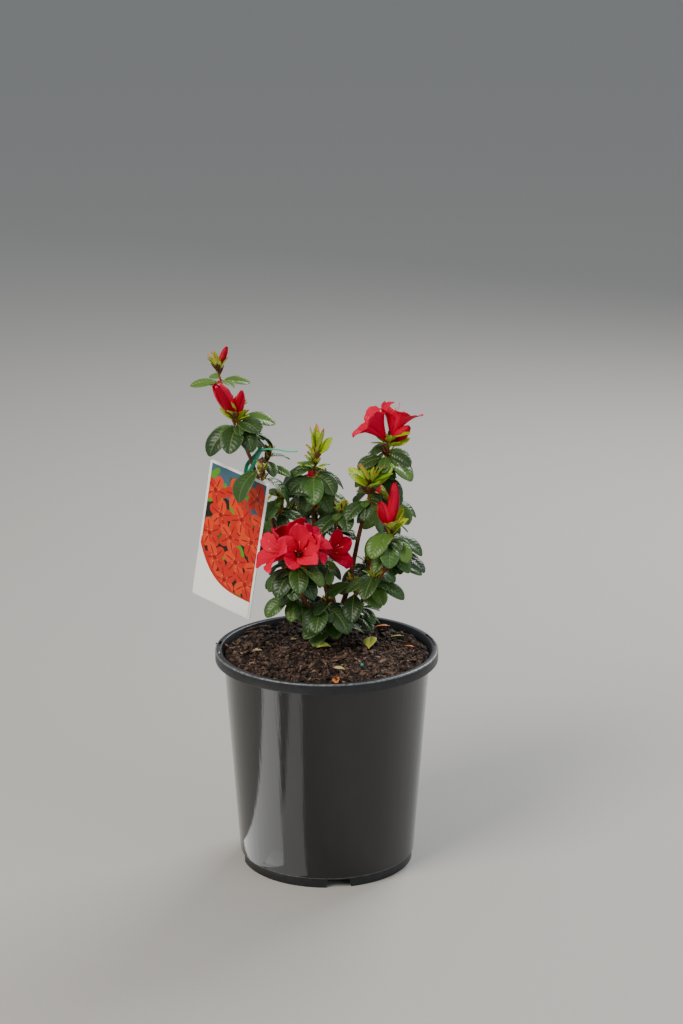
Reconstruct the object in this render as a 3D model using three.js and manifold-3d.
// A young azalea in a round nursery pot: trunk, boughs, leafy shoots with blossom and buds,
// potting mix, and a blank picture card on a plastic tie. Millimetres, +Z up.
// The origin is the centre of the pot's underside, on the surface that the pot stands on.
// +X is to the right and +Y is away from a viewer who looks at the flowering side.
import * as THREE from "three";
import { mergeVertices } from "three/addons/utils/BufferGeometryUtils.js";
import Module from "manifold-3d";

const wasm = await Module();
wasm.setup();

const { Vector3 } = THREE;
const radians = THREE.MathUtils.degToRad;

// Driving sizes of the pot and the potting mix
const POT = {
  height: 199,
  rimRadius: 100,
  rimDepth: 9.5,
  rimTopWidth: 5.5,
  wall: 1.8,
  neckRadius: 92.3,
  stepRadius: 79.3,
  stepHeight: 9.2,
  footRadius: 77.6,
  floorHeight: 4.6,
  floorThickness: 2.4,
  bossRadius: 14,
  sides: 32,
};
// Two curved slots through the top of the rim, and four notches in the foot ring
const RIM_SLOT = { angles: [12, 180], span: 20, inner: 95.8, outer: 98 };
const FOOT_NOTCH = { angles: [-82, 8, 98, 188], width: 23, topWidth: 19.5, height: 7.4 };
const SOIL_LEVEL = POT.height - 4;

// Clearance between pieces that touch on the real plant, and the size of the slivers that
// joining leaves to a stem leaves behind, which are smoothed away
const GAP = 0.44;
const CLEAN_UP = 0.05;

// The trunk stands a little behind the middle of the pot.
const TRUNK = {
  foot: [5, 31, SOIL_LEVEL + GAP],
  tip: [11, 31, 221],
  flareRadius: 6.8,
  radius: 3.7,
  loss: 0.5,
  bend: [-1.2, 0, 0],
  sides: 10,
  steps: 8,
};

// Sides and steps of a bough and of the stem of a shoot
const BOUGH_FACETS = [6, 4];
const STEM_FACETS = [4, 2];

// How far a bough runs on at each end before it bends, and how far a shoot sags, as shares
// of their length
const BOUGH_HANDLE = 0.36;
const STEM_SAG = 0.12;
const STEM_TIP_RADIUS = 0.8;

// Boughs. Each starts at a share of its parent's length and ends at its tip. A direction is
// [azimuth, rise] in degrees, with the azimuth counted from +X towards +Y.
const BOUGHS = [
  {
    name: "bough_centre", on: "trunk", at: 0.85, leave: [165, 70],
    tip: [-13, 29, 340], arrive: [80, 84], radii: [2.2, 1.5],
  },
  {
    name: "bough_right_tall", on: "trunk", at: 0.9, leave: [20, 66],
    tip: [43, 17, 342], arrive: [10, 64], radii: [2.5, 1.6],
  },
  {
    name: "bough_right_low", on: "trunk", at: 0.72, leave: [-35, 34],
    tip: [55, 1, 286], arrive: [-75, 62], radii: [2.2, 1.5],
  },
  {
    name: "bough_left", on: "trunk", at: 0.62, leave: [185, 42],
    tip: [-73, 17, 384], arrive: [195, 68], radii: [2.4, 1.5],
  },
  {
    name: "bough_front", on: "trunk", at: 0.5, leave: [-112, 30],
    tip: [-26, -18, 268], arrive: [-110, 72], radii: [2, 1.4],
  },
  {
    name: "bough_back", on: "trunk", at: 0.78, leave: [100, 36],
    tip: [-6, 78, 308], arrive: [100, 76], radii: [2.1, 1.4],
  },
  {
    name: "bough_back_left", on: "trunk", at: 0.58, leave: [140, 26],
    tip: [-56, 74, 286], arrive: [140, 66], radii: [2, 1.4],
  },
  {
    name: "bough_back_right", on: "trunk", at: 0.55, leave: [50, 30],
    tip: [52, 76, 294], arrive: [50, 66], radii: [2, 1.4],
  },
  {
    name: "bough_front_right", on: "bough_front", at: 0.22, leave: [-60, 64],
    tip: [-6, 15, 270], arrive: [-170, 78], radii: [1.7, 1.2],
  },
  {
    name: "bough_left_top", on: "bough_left", at: 0.8, leave: [120, 56],
    tip: [-92, 31, 432], arrive: [200, 80], radii: [1.5, 1.2],
  },
];

// Groups of leaves on a shoot: their number, the azimuth of the first and the step to the next,
// the stretch of the stem that carries them, their rise and droop in degrees, and their size.
// Those at the sides turn their upper faces to the front by the facing angle.
const whorl = (count, turn, values = {}) => ({
  kind: "mature", count, turn, step: 360 / count, from: 0.5, to: 0.78,
  rise: 2, droop: 72, length: 33, width: 18.5, facing: 22, ...values,
});
const sprigs = (count, turn, values = {}) => ({
  kind: "mature", count, turn, step: 137.5, from: 0.3, to: 0.95,
  rise: 18, droop: 70, length: 27, width: 13, facing: 18, ...values,
});
const tuft = (count, turn, values = {}) => ({
  kind: "young", count, turn, step: 137.5, from: 0.86, to: 1,
  rise: 64, droop: 12, length: 16, width: 5, facing: 0, ...values,
});

// Blossom on a shoot. It starts at a share of the stem and points along [azimuth, rise].
const flower = (at, toward, values = {}) => ({
  kind: "flower", at, toward, stalk: 6, length: 31, spread: 22, ...values,
});
const bud = (at, toward, values = {}) => ({
  kind: "bud", at, toward, stalk: 4, length: 24, spread: 5.5, ...values,
});

// Foliage masses. Each is a shoot that grows from a limb to its own tip.
const MASSES = [
  {
    name: "foliage_front", on: "bough_front", at: 1, tip: [-25, -14, 291], radius: 1.5,
    leaves: [
      whorl(8, 192, { from: 0.4, to: 0.7, length: 34, width: 18 }),
      sprigs(6, -96, { from: 0.1, to: 0.4, rise: -16, droop: 50, length: 29, width: 15 }),
      tuft(4, 20, { rise: 40, length: 12 }),
    ],
    blooms: [
      flower(0.84, [-84, 35], { length: 31, spread: 23 }),
      flower(0.8, [-147, 14], { length: 32, spread: 22 }),
      flower(0.96, [126, 55], { length: 29, spread: 21 }),
      flower(0.9, [-19, 45], { length: 30, spread: 19 }),
    ],
  },
  {
    name: "foliage_front_right", on: "bough_front_right", at: 1, tip: [-7, 18, 284], radius: 1.3,
    leaves: [
      whorl(6, -60, { from: 0.3, to: 0.6, rise: -8, droop: 56, length: 29, width: 15 }),
      tuft(3, 60, { rise: 55, length: 11 }),
    ],
    blooms: [flower(0.9, [-42, 16], { length: 30, spread: 19, stalk: 6 })],
  },
  {
    name: "foliage_back_inner", on: "bough_back", at: 0.6, tip: [-13, 54, 312], radius: 1.2,
    leaves: [whorl(6, 150, { rise: 2, droop: 54, length: 27, width: 13 })],
    blooms: [flower(0.95, [-20, 76], { length: 29, spread: 20, stalk: 5 })],
  },
  {
    name: "foliage_right_low", on: "bough_right_low", at: 1, tip: [58, -4, 312], radius: 1.4,
    leaves: [
      whorl(8, -89, { from: 0.5, to: 0.8, length: 33, width: 18 }),
      sprigs(5, -37, { from: 0.12, to: 0.4, rise: -18, droop: 44, length: 28, width: 13 }),
      tuft(4, -12, { rise: 44, droop: 8, length: 22, width: 9, facing: 26 }),
    ],
    blooms: [
      bud(0.92, [165, 66], { length: 27, spread: 6, stalk: 3 }),
      bud(0.94, [60, 84], { length: 42, spread: 4.8, stalk: 8 }),
    ],
  },
  {
    name: "foliage_centre", on: "bough_centre", at: 1, tip: [-9, 27, 370], radius: 1.4,
    leaves: [
      whorl(7, 215, { from: 0.36, to: 0.62, length: 36, width: 19 }),
      whorl(5, 250, { from: 0.1, to: 0.3, rise: -22, droop: 46, length: 30, width: 16 }),
      sprigs(4, 175, { from: 0.6, to: 0.8, rise: 18, droop: 30, length: 19, width: 8 }),
      tuft(6, 170, { from: 0.7, to: 0.95, rise: 50, length: 13 }),
      tuft(4, 40, { from: 0.97, to: 1, rise: 78, droop: 4, length: 27, width: 6.4 }),
      tuft(1, -10, { from: 1, to: 1, rise: 44, droop: -8, length: 22, width: 11, facing: 40 }),
    ],
    blooms: [],
  },
  {
    name: "foliage_right_mid", on: "bough_right_tall", at: 0.8, tip: [39, 2, 352], radius: 1.3,
    leaves: [
      tuft(6, 150, { from: 0.84, rise: 34, droop: 10, length: 25, width: 11, facing: 26 }),
      tuft(6, 19, { rise: 60, droop: 4, length: 20, width: 6 }),
      tuft(1, 4, { rise: 46, droop: 6, length: 31, width: 15, facing: 44 }),
      whorl(6, 168, { from: 0.45, to: 0.75, rise: -6, droop: 56, length: 28, width: 15 }),
    ],
    blooms: [],
  },
  {
    name: "foliage_right_top", on: "bough_right_tall", at: 1, tip: [57, 22, 387], radius: 1.4,
    leaves: [
      whorl(8, 196, { from: 0.5, to: 0.8, length: 31, width: 17, facing: 40 }),
      sprigs(6, -92, { from: 0.2, to: 0.45, rise: -12, droop: 60, length: 30, width: 15, facing: 30 }),
      tuft(6, -8, { from: 0.86, rise: 28, droop: 12, length: 22, width: 9.5, facing: 30 }),
      tuft(3, 100, { rise: 60, length: 12 }),
    ],
    blooms: [
      flower(0.86, [192, 24], { length: 32, spread: 21, stalk: 5 }),
      flower(0.9, [30, 72], { length: 35, spread: 20, stalk: 4 }),
      bud(0.88, [-8, 44], { length: 25, spread: 5.4 }),
    ],
  },
  {
    name: "foliage_left", on: "bough_left", at: 1, tip: [-80, 15, 410], radius: 1.5,
    leaves: [
      whorl(8, -20, { from: 0.4, to: 0.68, length: 37, width: 19 }),
      tuft(6, 30, { from: 0.8, rise: 50, length: 16 }),
      tuft(2, 178, { from: 0.78, to: 0.8, rise: 34, length: 20, width: 9, facing: 30 }),
      whorl(2, -46, {
        from: 0.74, to: 0.8, step: 50, rise: 22, droop: 56, length: 38, width: 21, facing: 40,
      }),
    ],
    blooms: [
      bud(0.96, [208, 60], { length: 36, spread: 7.8, stalk: 2 }),
      bud(0.92, [-80, 80], { length: 23, spread: 4.8 }),
    ],
  },
  {
    name: "foliage_left_top", on: "bough_left_top", at: 1, tip: [-96, 28, 449], radius: 1.2,
    leaves: [
      whorl(4, 186, {
        from: 0.25, to: 0.4, step: 97, rise: 12, droop: 24, length: 25, width: 10.5, facing: 44,
      }),
      sprigs(3, 205, { from: 0.2, to: 0.3, step: 120, rise: 8, droop: 30, length: 12, width: 7 }),
      tuft(9, 143, { from: 0.6, rise: 68, length: 17, width: 4.8 }),
    ],
    blooms: [bud(0.9, [40, 84], { length: 20, spread: 3, stalk: 3 })],
  },
  {
    name: "foliage_left_card", on: "bough_left", at: 0.74, tip: [-57, -7, 366], radius: 1.2,
    leaves: [
      sprigs(3, -140, { from: 1, to: 0.5, step: 150, rise: -2, droop: 82, length: 38, width: 26 }),
    ],
    blooms: [],
  },
  {
    name: "foliage_left_side", on: "bough_left", at: 0.82, tip: [-50, 22, 373], radius: 1.1,
    leaves: [sprigs(5, -6, { from: 0.5, to: 1, rise: 10, droop: 44, length: 27, width: 10 })],
    blooms: [],
  },
  {
    name: "foliage_left_low", on: "bough_left", at: 0.55, tip: [-40, 12, 336], radius: 1.2,
    leaves: [
      whorl(6, -70, { from: 0.6, to: 0.95, rise: -6, droop: 56, length: 28, width: 14 }),
      sprigs(3, 10, { from: 0.9, to: 1, rise: 20, droop: 30, length: 25, width: 9 }),
    ],
    blooms: [],
  },
  {
    name: "foliage_centre_side", on: "bough_centre", at: 0.55, tip: [-34, 34, 318], radius: 1.2,
    leaves: [
      whorl(6, 170, { from: 0.6, to: 0.95, rise: 0, droop: 54, length: 27, width: 14 }),
      tuft(3, 80, { rise: 50, length: 12 }),
    ],
    blooms: [],
  },
  {
    name: "foliage_centre_right", on: "bough_centre", at: 0.45, tip: [15, 12, 326], radius: 1.2,
    leaves: [
      whorl(7, -30, { from: 0.6, to: 0.95, rise: 4, droop: 60, length: 30, width: 15 }),
      tuft(3, 10, { rise: 50, length: 12 }),
    ],
    blooms: [],
  },
  {
    name: "foliage_right_stem", on: "bough_right_low", at: 0.5, tip: [43, -8, 268], radius: 1.2,
    leaves: [
      whorl(7, -62, { from: 0.5, to: 0.95, rise: 2, droop: 62, length: 30, width: 15 }),
      tuft(3, 40, { rise: 40, length: 12 }),
    ],
    blooms: [],
  },
  {
    name: "foliage_right_side", on: "bough_right_low", at: 0.75, tip: [68, 16, 282], radius: 1.2,
    leaves: [
      whorl(7, 10, { from: 0.5, to: 0.95, rise: 2, droop: 54, length: 28, width: 13 }),
      tuft(3, -10, { rise: 36, length: 12 }),
    ],
    blooms: [],
  },
  {
    name: "foliage_low_front", on: "bough_front", at: 0.5, tip: [3, -4, 243], radius: 1.2,
    leaves: [whorl(6, -100, { from: 0.6, to: 0.95, rise: -6, droop: 62, length: 34, width: 18 })],
    blooms: [],
  },
  {
    name: "foliage_low_right", on: "trunk", at: 0.62, tip: [30, 18, 230], radius: 1.1,
    leaves: [sprigs(6, -38, { from: 0.5, to: 1, rise: 14, droop: 66, length: 30, width: 10 })],
    blooms: [],
  },
  {
    name: "foliage_low_middle", on: "bough_right_low", at: 0.32, tip: [22, 0, 261], radius: 1.2,
    leaves: [whorl(5, -92, { from: 0.6, to: 0.95, rise: -2, droop: 60, length: 31, width: 16 })],
    blooms: [],
  },
  {
    name: "foliage_low_trunk", on: "trunk", at: 0.4, tip: [3, 13, 219], radius: 1.1,
    leaves: [sprigs(5, -128, { from: 0.5, to: 1, rise: 12, droop: 62, length: 30, width: 16 })],
    blooms: [],
  },
  {
    name: "foliage_low_left", on: "bough_left", at: 0.2, tip: [-31, 6, 244], radius: 1.2,
    leaves: [
      whorl(7, 253, { from: 0.5, to: 0.95, rise: -2, droop: 62, length: 31, width: 17 }),
      tuft(3, 200, { rise: 40, length: 12 }),
    ],
    blooms: [],
  },
  {
    name: "foliage_back", on: "bough_back", at: 1, tip: [-7, 82, 322], radius: 1.4,
    leaves: [
      whorl(8, 96),
      sprigs(4, 52, { from: 0.1, to: 0.4, rise: -16, droop: 44, length: 29, width: 14 }),
      tuft(5, 100, { rise: 58, length: 16, width: 5 }),
    ],
    blooms: [
      flower(0.9, [95, 12]),
      bud(0.95, [120, 50], { length: 25, spread: 5.6 }),
    ],
  },
  {
    name: "foliage_back_left", on: "bough_back_left", at: 1, tip: [-60, 78, 308], radius: 1.4,
    leaves: [
      whorl(8, 150),
      sprigs(4, 130, { from: 0.1, to: 0.4, rise: -16, droop: 44, length: 29, width: 14 }),
      tuft(5, 160, { rise: 56, length: 18, width: 5.4 }),
    ],
    blooms: [bud(0.95, [120, 74], { length: 27, spread: 6.2 })],
  },
  {
    name: "foliage_back_right", on: "bough_back_right", at: 1, tip: [55, 80, 316], radius: 1.4,
    leaves: [
      whorl(8, 43),
      sprigs(4, 26, { from: 0.1, to: 0.4, rise: -16, droop: 44, length: 29, width: 14 }),
      tuft(5, 60, { rise: 50, length: 18, width: 6 }),
    ],
    blooms: [
      flower(0.9, [84, 10]),
      flower(0.92, [150, 34], { length: 29, spread: 19 }),
    ],
  },
  {
    name: "foliage_back_low_left", on: "bough_back_left", at: 0.55, tip: [-37, 71, 251], radius: 1.2,
    leaves: [
      whorl(6, 144, { rise: 2, droop: 58, length: 29, width: 15 }),
      tuft(3, 128, { rise: 46, length: 13 }),
    ],
    blooms: [],
  },
  {
    name: "foliage_back_low_right", on: "bough_back_right", at: 0.55, tip: [38, 72, 256], radius: 1.2,
    leaves: [
      whorl(6, 63, { rise: 2, droop: 58, length: 29, width: 15 }),
      tuft(3, 30, { rise: 46, length: 13 }),
    ],
    blooms: [],
  },
];

// The hanging card: it hangs from a tie round the left bough, turned towards its left side
const CARD = {
  width: 70,
  height: 130,
  thickness: 0.8,
  corner: 1.5,
  middle: [-86, 15.4, 295.2],
  turn: [-1.7, 9.8, -39.5],
  hole: { across: 10, down: 8.5, radius: 3 },
};
const TIE = {
  width: 2.8,
  thickness: 1.5,
  loop: [
    [-59, 9, 379], [-63, 21, 378], [-70, 26, 373], [-75, 21, 364], [-72.5, 12.5, 354],
    [-71.6, 5.2, 350], [-71.5, -1, 353], [-66.5, -0.5, 362], [-59.5, 6, 373], [-57.5, 8.5, 379.5],
  ],
  tail: [[-58, 8, 380], [-46, 4, 381], [-34, 2, 379.5], [-25, 0, 380]],
  knotRadius: 2.6,
};

const MATERIALS = {
  pot: { color: 0x24262a, roughness: 0.3, metalness: 0 },
  soil: { color: 0x3a2a20, roughness: 1, metalness: 0 },
  bark: { color: 0x6b3d26, roughness: 0.8, metalness: 0 },
  leaf: { color: 0x2f4a2c, roughness: 0.4, metalness: 0 },
  card: { color: 0xe9e7e2, roughness: 0.5, metalness: 0 },
  tie: { color: 0x14a877, roughness: 0.4, metalness: 0 },
};

const object = new THREE.Group();
const built = [];

// A repeatable stream of numbers from 0 to 1
function stream(seed) {
  let state = seed;
  return () => {
    state = (state * 1664525 + 1013904223) % 4294967296;
    return state / 4294967296;
  };
}

function pointAt(values) {
  return new Vector3(...values);
}

function heading([azimuth, rise]) {
  const turn = radians(azimuth);
  const climb = radians(rise);
  return new Vector3(
    Math.cos(turn) * Math.cos(climb), Math.sin(turn) * Math.cos(climb), Math.sin(climb));
}

// A geometry as a solid: corners that meet are merged and flattened faces dropped
function solidOf(geometry) {
  const bare = geometry.clone();
  bare.deleteAttribute("normal");
  bare.deleteAttribute("uv");
  const merged = mergeVertices(bare, 1e-4);
  const index = merged.index.array;
  const faces = [];
  for (let first = 0; first < index.length; first += 3) {
    const [a, b, c] = index.slice(first, first + 3);
    if (a !== b && b !== c && c !== a) faces.push(a, b, c);
  }
  return new wasm.Manifold(new wasm.Mesh({
    numProp: 3,
    vertProperties: new Float32Array(merged.attributes.position.array),
    triVerts: new Uint32Array(faces),
  }));
}

function geometryOf(solid) {
  const mesh = solid.getMesh();
  const geometry = new THREE.BufferGeometry();
  geometry.setAttribute("position", new THREE.BufferAttribute(new Float32Array(mesh.vertProperties), 3));
  geometry.setIndex(new THREE.BufferAttribute(new Uint32Array(mesh.triVerts), 1));
  return geometry;
}

// The largest body of a solid, without loose scraps or sealed hollows
function largest(solid) {
  const bodies = solid.decompose();
  return bodies.reduce((best, body) => (body.volume() > best.volume() ? body : best));
}

// A closed skin whose rings are laid by place(angle, share, reach), where reach is 1 on the
// skin and 0 at the middle of an end
function skin(sides, steps, place) {
  const geometry = new THREE.CylinderGeometry(1, 1, 1, sides, steps);
  const spots = geometry.attributes.position;
  for (let i = 0; i < spots.count; i += 1) {
    const reach = Math.min(1, Math.round(Math.hypot(spots.getX(i), spots.getZ(i))));
    const angle = Math.atan2(spots.getX(i), spots.getZ(i));
    const at = place(angle, spots.getY(i) + 0.5, reach);
    spots.setXYZ(i, at.x, at.y, at.z);
  }
  return solidOf(geometry);
}

// A tapering tube along a curve. The margin makes it larger all round.
function tube(curve, radiusAt, sides, steps, margin = 0) {
  const across = new Vector3(0, 1, 0);
  return skin(sides, steps, (angle, share, reach) => {
    const along = curve.getTangent(share);
    const side = new Vector3().crossVectors(across, along).normalize();
    const other = new Vector3().crossVectors(side, along);
    const radius = (radiusAt(share) + margin) * reach;
    const end = share === 0 ? -margin : share === 1 ? margin : 0;
    return curve.getPoint(share)
      .addScaledVector(side, radius * Math.sin(angle))
      .addScaledVector(other, radius * Math.cos(angle))
      .addScaledVector(along, end);
  });
}

function taper([first, last]) {
  return (share) => first + (last - first) * share;
}

// Solids whose boxes come within the clearance of a solid's box
function neighbours(solid, list) {
  const box = solid.boundingBox();
  return list.filter((other) => [0, 1, 2].every((axis) =>
    box.min[axis] - GAP < other.box.max[axis] && other.box.min[axis] < box.max[axis] + GAP));
}

function isClear(solid, list) {
  return neighbours(solid, list).every((other) => other.solid.minGap(solid, GAP) >= GAP);
}

function addPiece(name, solid, material) {
  const mesh = new THREE.Mesh(geometryOf(solid), new THREE.MeshStandardMaterial(MATERIALS[material]));
  mesh.name = name;
  object.add(mesh);
  built.push({ name, solid, box: solid.boundingBox() });
}

// Pot: a thin wall with a rolled rim, a raised floor, a notched foot ring and a middle pad

// Radius of the pot's outer wall at a height
function wallRadius(height) {
  const share = (height - POT.stepHeight) / (POT.height - POT.rimDepth - POT.stepHeight);
  return POT.stepRadius + (POT.neckRadius - POT.stepRadius) * share;
}

function makePot() {
  const top = POT.height;
  const rimInner = POT.rimRadius - POT.rimTopWidth;
  const underRim = top - POT.rimDepth;
  const floorTop = POT.floorHeight + POT.floorThickness;
  const footInner = POT.footRadius - POT.wall * 1.6;
  const profile = [
    [0, 0], [POT.bossRadius, 0], [POT.bossRadius, POT.floorHeight],
    [footInner, POT.floorHeight], [footInner, 0],
    [POT.footRadius, 0], [POT.footRadius, POT.stepHeight - 0.6], [POT.stepRadius, POT.stepHeight],
    [wallRadius(underRim), underRim], [rimInner + 1.8, top - POT.wall],
    [POT.rimRadius - POT.wall, top - POT.wall], [POT.rimRadius - POT.wall, underRim],
    [POT.rimRadius, underRim], [POT.rimRadius, top - 0.8], [POT.rimRadius - 0.8, top],
    [rimInner, top],
    [wallRadius(underRim) - POT.wall, underRim - 1],
    [wallRadius(floorTop) - POT.wall, floorTop], [0, floorTop],
  ];
  const outline = profile.map(([radius, height]) => new THREE.Vector2(radius, height));
  let pot = solidOf(uprightLathe(outline, POT.sides));
  for (const angle of RIM_SLOT.angles) {
    pot = pot.subtract(solidOf(rimSlot(angle)));
  }
  for (const angle of FOOT_NOTCH.angles) {
    pot = pot.subtract(solidOf(footNotch(angle)));
  }
  return largest(pot);
}

// A lathe turned upright: three's lathe axis is +Y, the pot's is +Z
function uprightLathe(outline, sides) {
  const geometry = new THREE.LatheGeometry(outline, sides);
  geometry.rotateX(Math.PI / 2);
  return geometry;
}

function rimSlot(angle) {
  const { span, inner, outer } = RIM_SLOT;
  const [start, end] = [radians(angle - span / 2), radians(angle + span / 2)];
  const outline = new THREE.Shape();
  outline.absarc(0, 0, outer, start, end, false);
  outline.absarc(0, 0, inner, end, start, true);
  const depth = 3 * POT.wall;
  const slot = new THREE.ExtrudeGeometry(outline, { depth, bevelEnabled: false, curveSegments: 4 });
  slot.translate(0, 0, POT.height - depth / 2);
  return slot;
}

function footNotch(angle) {
  const { width, topWidth, height } = FOOT_NOTCH;
  const outline = new THREE.Shape([
    new THREE.Vector2(-width / 2 - 1, -1), new THREE.Vector2(width / 2 + 1, -1),
    new THREE.Vector2(topWidth / 2, height), new THREE.Vector2(-topWidth / 2, height),
  ]);
  const depth = POT.wall * 4;
  const notch = new THREE.ExtrudeGeometry(outline, { depth, bevelEnabled: false });
  notch.rotateX(Math.PI / 2);
  notch.rotateZ(Math.PI / 2);
  notch.translate(POT.stepRadius - depth + 1, 0, 0);
  notch.rotateZ(radians(angle));
  return notch;
}

function makeSoil() {
  const floorTop = POT.floorHeight + POT.floorThickness + GAP;
  const inset = POT.wall + GAP + 0.4;
  const outline = [
    [0, floorTop], [wallRadius(floorTop) - inset, floorTop],
    [wallRadius(SOIL_LEVEL - 4) - inset, SOIL_LEVEL - 4],
    [wallRadius(SOIL_LEVEL - 4) - inset - 2, SOIL_LEVEL], [0, SOIL_LEVEL],
  ].map(([radius, height]) => new THREE.Vector2(radius, height));
  return solidOf(uprightLathe(outline, POT.sides));
}

// Limbs: the trunk with its root flare, and boughs that taper from parent to tip

const limbs = {};

// A solid cut back from the limbs that it would touch
function cutFromLimbs(solid) {
  let rest = solid;
  for (const other of neighbours(solid, built)) {
    if (limbs[other.name]) rest = rest.subtract(limbs[other.name].grown);
  }
  return largest(rest);
}

function addTrunk() {
  const foot = pointAt(TRUNK.foot);
  const tip = pointAt(TRUNK.tip);
  const middle = foot.clone().lerp(tip, 0.5).add(pointAt(TRUNK.bend));
  const curve = new THREE.QuadraticBezierCurve3(foot, middle, tip);
  const flare = TRUNK.flareRadius - TRUNK.radius;
  const radiusAt = (share) => TRUNK.radius + flare * (1 - share) ** 5 - TRUNK.loss * share;
  const whole = tube(curve, radiusAt, TRUNK.sides, TRUNK.steps);
  const ground = new THREE.BoxGeometry(8 * TRUNK.radius, 8 * TRUNK.radius, 2 * TRUNK.radius);
  ground.translate(foot.x, foot.y, foot.z - TRUNK.radius);
  limbs.trunk = { curve, grown: tube(curve, radiusAt, TRUNK.sides, TRUNK.steps, GAP) };
  addPiece("trunk", largest(whole.subtract(solidOf(ground))), "bark");
}

function boughCurve(bough) {
  const start = limbs[bough.on].curve.getPoint(bough.at);
  const tip = pointAt(bough.tip);
  const handle = start.distanceTo(tip) * BOUGH_HANDLE;
  return new THREE.CubicBezierCurve3(
    start, start.clone().addScaledVector(heading(bough.leave), handle),
    tip.clone().addScaledVector(heading(bough.arrive), -handle), tip);
}

function addBough(bough) {
  const curve = boughCurve(bough);
  const radiusAt = taper(bough.radii);
  const solid = cutFromLimbs(tube(curve, radiusAt, ...BOUGH_FACETS));
  limbs[bough.name] = { curve, grown: tube(curve, radiusAt, ...BOUGH_FACETS, GAP) };
  addPiece(bough.name, solid, "bark");
}

// Leaves, blossom and buds

// The line of a leaf: it leaves its root at a rise and bends down by its droop
function leafLine(root, azimuth, rise, droop, length) {
  return (share) => {
    const angle = rise - droop * share;
    const straight = Math.abs(droop) < 0.001;
    const run = straight ? length * share * Math.cos(rise)
      : length * (Math.sin(rise) - Math.sin(angle)) / droop;
    const climb = straight ? length * share * Math.sin(rise)
      : length * (Math.cos(angle) - Math.cos(rise)) / droop;
    const centre = new Vector3(
      root.x + run * Math.cos(azimuth), root.y + run * Math.sin(azimuth), root.z + climb);
    const side = new Vector3(Math.sin(azimuth), -Math.cos(azimuth), 0);
    const above = new Vector3(
      -Math.cos(azimuth) * Math.sin(angle), -Math.sin(azimuth) * Math.sin(angle), Math.cos(angle));
    return { centre, side, above };
  };
}

// Stations along a leaf: shares of its length, its half width and its thickness. The first is
// the root inside the stem and the last is the tip.
const LEAF_STATIONS = {
  mature: [[0, 0.04, 0.5], [0.2, 0.1, 1], [0.56, 1, 1], [1, 0, 0]],
  young: [[0, 0.06, 0.5], [0.58, 1, 1], [1, 0, 0]],
};
// A leaf that would touch another piece is turned by the next of these angles, or left out.
const LEAF_TURNS = [0, 22, -22, 44, -44, 66, -66];
const LEAF_THICKNESS = { mature: 0.5, young: 0.6 };

// A leaf is three-sided: a flat face and a keel under its midrib
const EDGE_SINE = Math.sin(radians(120));

// How far chance changes a leaf's azimuth, rise and roll, in degrees, and its size
const LEAF_CHANCE = { azimuth: 16, rise: 18, roll: 34, size: 0.24 };

function leafSolid(leaf) {
  const stations = LEAF_STATIONS[leaf.kind];
  const line = leafLine(
    leaf.root, radians(leaf.azimuth), radians(leaf.rise), radians(leaf.droop), leaf.length);
  const roll = radians(leaf.roll);
  return skin(3, stations.length - 1, (angle, ring, reach) => {
    const station = Math.round(ring * (stations.length - 1));
    const [share, wide, deep] = stations[station];
    const { centre, side, above } = line(share);
    const turnedSide = side.clone().multiplyScalar(Math.cos(roll)).addScaledVector(above, Math.sin(roll));
    const turnedAbove = above.clone().multiplyScalar(Math.cos(roll)).addScaledVector(side, -Math.sin(roll));
    const half = wide * leaf.width / 2 * reach;
    const thick = deep * LEAF_THICKNESS[leaf.kind] * reach;
    return centre
      .addScaledVector(turnedSide, -half * Math.sin(angle) / EDGE_SINE)
      .addScaledVector(turnedAbove, -thick * Math.cos(angle));
  });
}

// Every leaf of a shoot, before any is left out
function leavesOf(mass, stem, random) {
  const leaves = [];
  for (const group of mass.leaves) {
    for (let i = 0; i < group.count; i += 1) {
      const spread = group.count > 1 ? i / (group.count - 1) : 0;
      const jitter = [random() - 0.5, random() - 0.5, random() - 0.5, random() - 0.5];
      const size = 1 + LEAF_CHANCE.size * jitter[2];
      const azimuth = group.turn + group.step * i + LEAF_CHANCE.azimuth * jitter[0];
      leaves.push({
        kind: group.kind,
        root: stem.getPoint(group.from + (group.to - group.from) * spread),
        azimuth,
        rise: group.rise + LEAF_CHANCE.rise * jitter[1],
        droop: group.droop,
        length: group.length * size,
        width: group.width * size,
        roll: LEAF_CHANCE.roll * jitter[3] - group.facing * Math.cos(radians(azimuth)),
      });
    }
  }
  return leaves;
}

// The frame of a bloom: its axis, a side and a direction at right angles to both
function bloomFrame(toward) {
  const axis = heading(toward);
  const side = new Vector3(Math.sin(radians(toward[0])), -Math.cos(radians(toward[0])), 0);
  const other = new Vector3().crossVectors(side, axis);
  return { axis, side, other };
}

const FLOWER_LOBES = 5;
const FLOWER_WALL = 0.75;
const FLOWER_THROAT = 1.5;

// How far the corolla's wall turns outwards over its length, and how sharply it widens
const FLOWER_BEND = radians(66);
const FLOWER_FLARE = 1.35;

// Shares of the corolla's length, out to its edge and back down its inside
const FLOWER_STATIONS = [0, 0.45, 1, 0.5, 0.22];
const FLOWER_EDGE = 2;

// Turns the corolla's corners so that every third one falls on a notch between two lobes
const FLOWER_TURN = radians(12);

// How far along its own length the corolla reaches at an angle, from notch to lobe tip
function lobeReach(angle) {
  return 0.62 + 0.38 * Math.abs(Math.cos(angle * FLOWER_LOBES / 2)) ** 0.6;
}

// Radius and height of the corolla at a share of its length
function corollaProfile(bloom, share) {
  const radius = FLOWER_THROAT + (bloom.spread - FLOWER_THROAT) * share ** FLOWER_FLARE;
  const bend = Math.sin(FLOWER_BEND * share) / Math.sin(FLOWER_BEND);
  const height = (bloom.length - bloom.stalk) * bend;
  return { radius, height };
}

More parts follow.
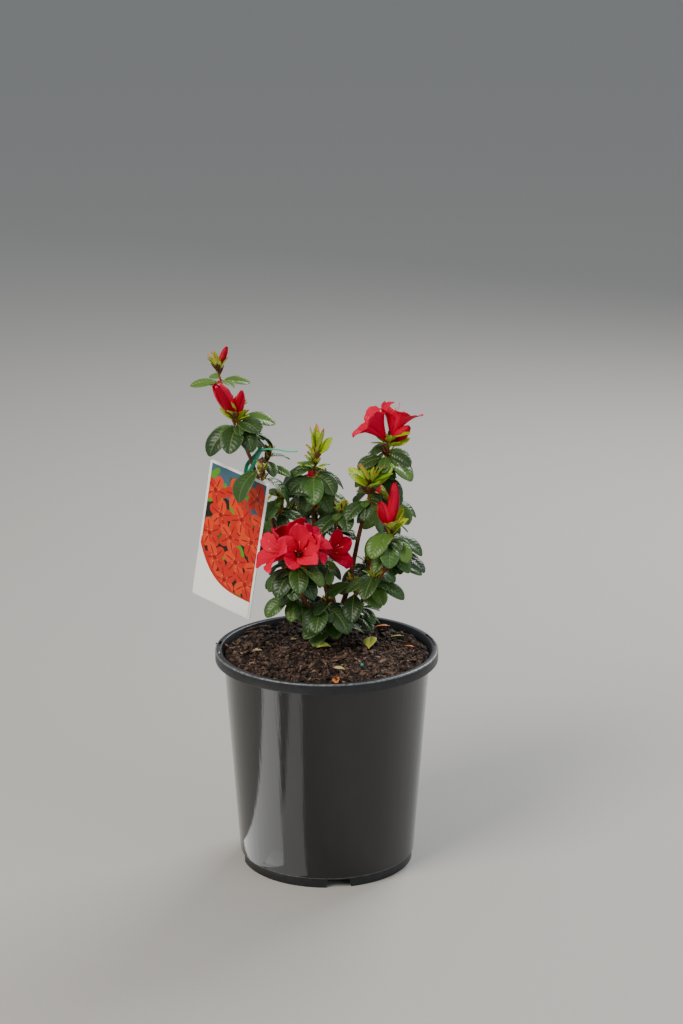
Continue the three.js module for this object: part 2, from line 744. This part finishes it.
function flowerSolid(bloom, root) {
  const { axis, side, other } = bloomFrame(bloom.toward);
  const base = root.clone().addScaledVector(axis, bloom.stalk);
  const last = FLOWER_STATIONS.length - 1;
  return skin(FLOWER_LOBES * 3, last, (corner, ring, reach) => {
    const angle = corner + FLOWER_TURN;
    const station = Math.round(ring * last);
    const inside = station > FLOWER_EDGE;
    const closed = station === 0 || station === last;
    const share = FLOWER_STATIONS[station] * (closed ? 1 : lobeReach(angle));
    const { radius, height } = corollaProfile(bloom, share);
    const wide = closed ? 0 : (radius - (inside ? FLOWER_WALL * 0.6 : 0)) * reach;
    return base.clone()
      .addScaledVector(axis, height + (inside && !closed ? FLOWER_WALL : 0))
      .addScaledVector(side, wide * Math.sin(angle))
      .addScaledVector(other, wide * Math.cos(angle));
  });
}

// Stations along a bud: shares of its length and of its spread
const BUD_STATIONS = [[0, 0.3], [0.34, 0.9], [0.7, 0.94], [1, 0.14]];
const BUD_SIDES = 5;

// Radius of a bloom's stalk at its root, how much wider it ends, and how far it enters the bloom
const STALK = { radius: 0.7, widening: 0.5, overlap: 1.6, sides: 4 };

function budSolid(bloom, root) {
  const { axis, side, other } = bloomFrame(bloom.toward);
  const base = root.clone().addScaledVector(axis, bloom.stalk);
  const last = BUD_STATIONS.length - 1;
  return skin(BUD_SIDES, last, (angle, ring, reach) => {
    const [share, wide] = BUD_STATIONS[Math.round(ring * last)];
    const radius = wide * bloom.spread * reach;
    return base.clone()
      .addScaledVector(axis, share * (bloom.length - bloom.stalk))
      .addScaledVector(side, radius * Math.sin(angle))
      .addScaledVector(other, radius * Math.cos(angle));
  });
}

function stalkSolid(bloom, root) {
  const { axis, side, other } = bloomFrame(bloom.toward);
  return skin(STALK.sides, 1, (angle, share, reach) => {
    const radius = (STALK.radius + STALK.widening * share) * reach;
    return root.clone()
      .addScaledVector(axis, share * (bloom.stalk + STALK.overlap))
      .addScaledVector(side, radius * Math.sin(angle))
      .addScaledVector(other, radius * Math.cos(angle));
  });
}

// The stem of a shoot: it sags a little between its limb and its tip
function stemCurve(mass) {
  const start = limbs[mass.on].curve.getPoint(mass.at);
  const tip = pointAt(mass.tip);
  const sag = start.distanceTo(tip) * STEM_SAG;
  const middle = start.clone().lerp(tip, 0.5).add(new Vector3(0, 0, -sag));
  return new THREE.QuadraticBezierCurve3(start, middle, tip);
}

// The leaf's blade at the first of its turns that is clear of the other pieces, if there is one
function clearBlade(leaf) {
  for (const turn of LEAF_TURNS) {
    const blade = leafSolid({ ...leaf, azimuth: leaf.azimuth + turn });
    if (isClear(blade, built)) return blade;
  }
  return null;
}

function bloomSolid(bloom, root) {
  const head = bloom.kind === "flower" ? flowerSolid(bloom, root) : budSolid(bloom, root);
  return head.add(stalkSolid(bloom, root));
}

function addMass(mass, number) {
  const stem = stemCurve(mass);
  const random = stream(number + 1);
  const stalk = cutFromLimbs(tube(stem, taper([mass.radius, STEM_TIP_RADIUS]), ...STEM_FACETS));
  const blooms = mass.blooms.map((bloom) => bloomSolid(bloom, stem.getPoint(bloom.at)));
  const blades = leavesOf(mass, stem, random).map(clearBlade).filter((blade) => blade !== null);
  const joined = wasm.Manifold.union([stalk, ...blooms, ...blades]);
  addPiece(mass.name, largest(joined.simplify(CLEAN_UP)), "leaf");
}

// The card and its tie

function makeCard() {
  const { width, height, thickness, corner, hole } = CARD;
  const outline = new THREE.Shape();
  outline.moveTo(-width / 2 + corner, -height / 2);
  outline.lineTo(width / 2 - corner, -height / 2);
  outline.lineTo(width / 2, -height / 2 + corner);
  outline.lineTo(width / 2, height / 2 - corner);
  outline.lineTo(width / 2 - corner, height / 2);
  outline.lineTo(-width / 2 + corner, height / 2);
  outline.lineTo(-width / 2, height / 2 - corner);
  outline.lineTo(-width / 2, -height / 2 + corner);
  const punched = new THREE.Path();
  punched.absarc(hole.across, height / 2 - hole.down, hole.radius, 0, 2 * Math.PI, true);
  outline.holes.push(punched);
  const card = new THREE.ExtrudeGeometry(
    outline, { depth: thickness, bevelEnabled: false, curveSegments: 8 });
  card.translate(0, 0, -thickness / 2);
  card.rotateX(Math.PI / 2);
  const turn = new THREE.Euler(...CARD.turn.map(radians), "ZYX");
  card.applyMatrix4(new THREE.Matrix4().makeRotationFromEuler(turn));
  card.translate(...CARD.middle);
  return largest(solidOf(card).subtract(strap(TIE.loop, GAP)));
}

// A flat strap through points. The margin makes it larger all round.
function strap(points, margin = 0) {
  const width = TIE.width / 2 + margin;
  const thickness = TIE.thickness / 2 + margin;
  const section = new THREE.Shape([
    new THREE.Vector2(-thickness, -width), new THREE.Vector2(thickness, -width),
    new THREE.Vector2(thickness, width), new THREE.Vector2(-thickness, width),
  ]);
  const path = new THREE.CatmullRomCurve3(points.map(pointAt));
  return solidOf(new THREE.ExtrudeGeometry(section, { steps: points.length + 2, extrudePath: path }));
}

function makeTie() {
  const knot = new THREE.IcosahedronGeometry(TIE.knotRadius, 0);
  knot.translate(...TIE.tail[0]);
  return largest(wasm.Manifold.union([strap(TIE.loop), strap(TIE.tail), solidOf(knot)]));
}

addPiece("pot", makePot(), "pot");
addPiece("soil", makeSoil(), "soil");
addTrunk();
BOUGHS.forEach(addBough);
addPiece("card", makeCard(), "card");
addPiece("tie", makeTie(), "tie");
MASSES.forEach(addMass);

export default object;
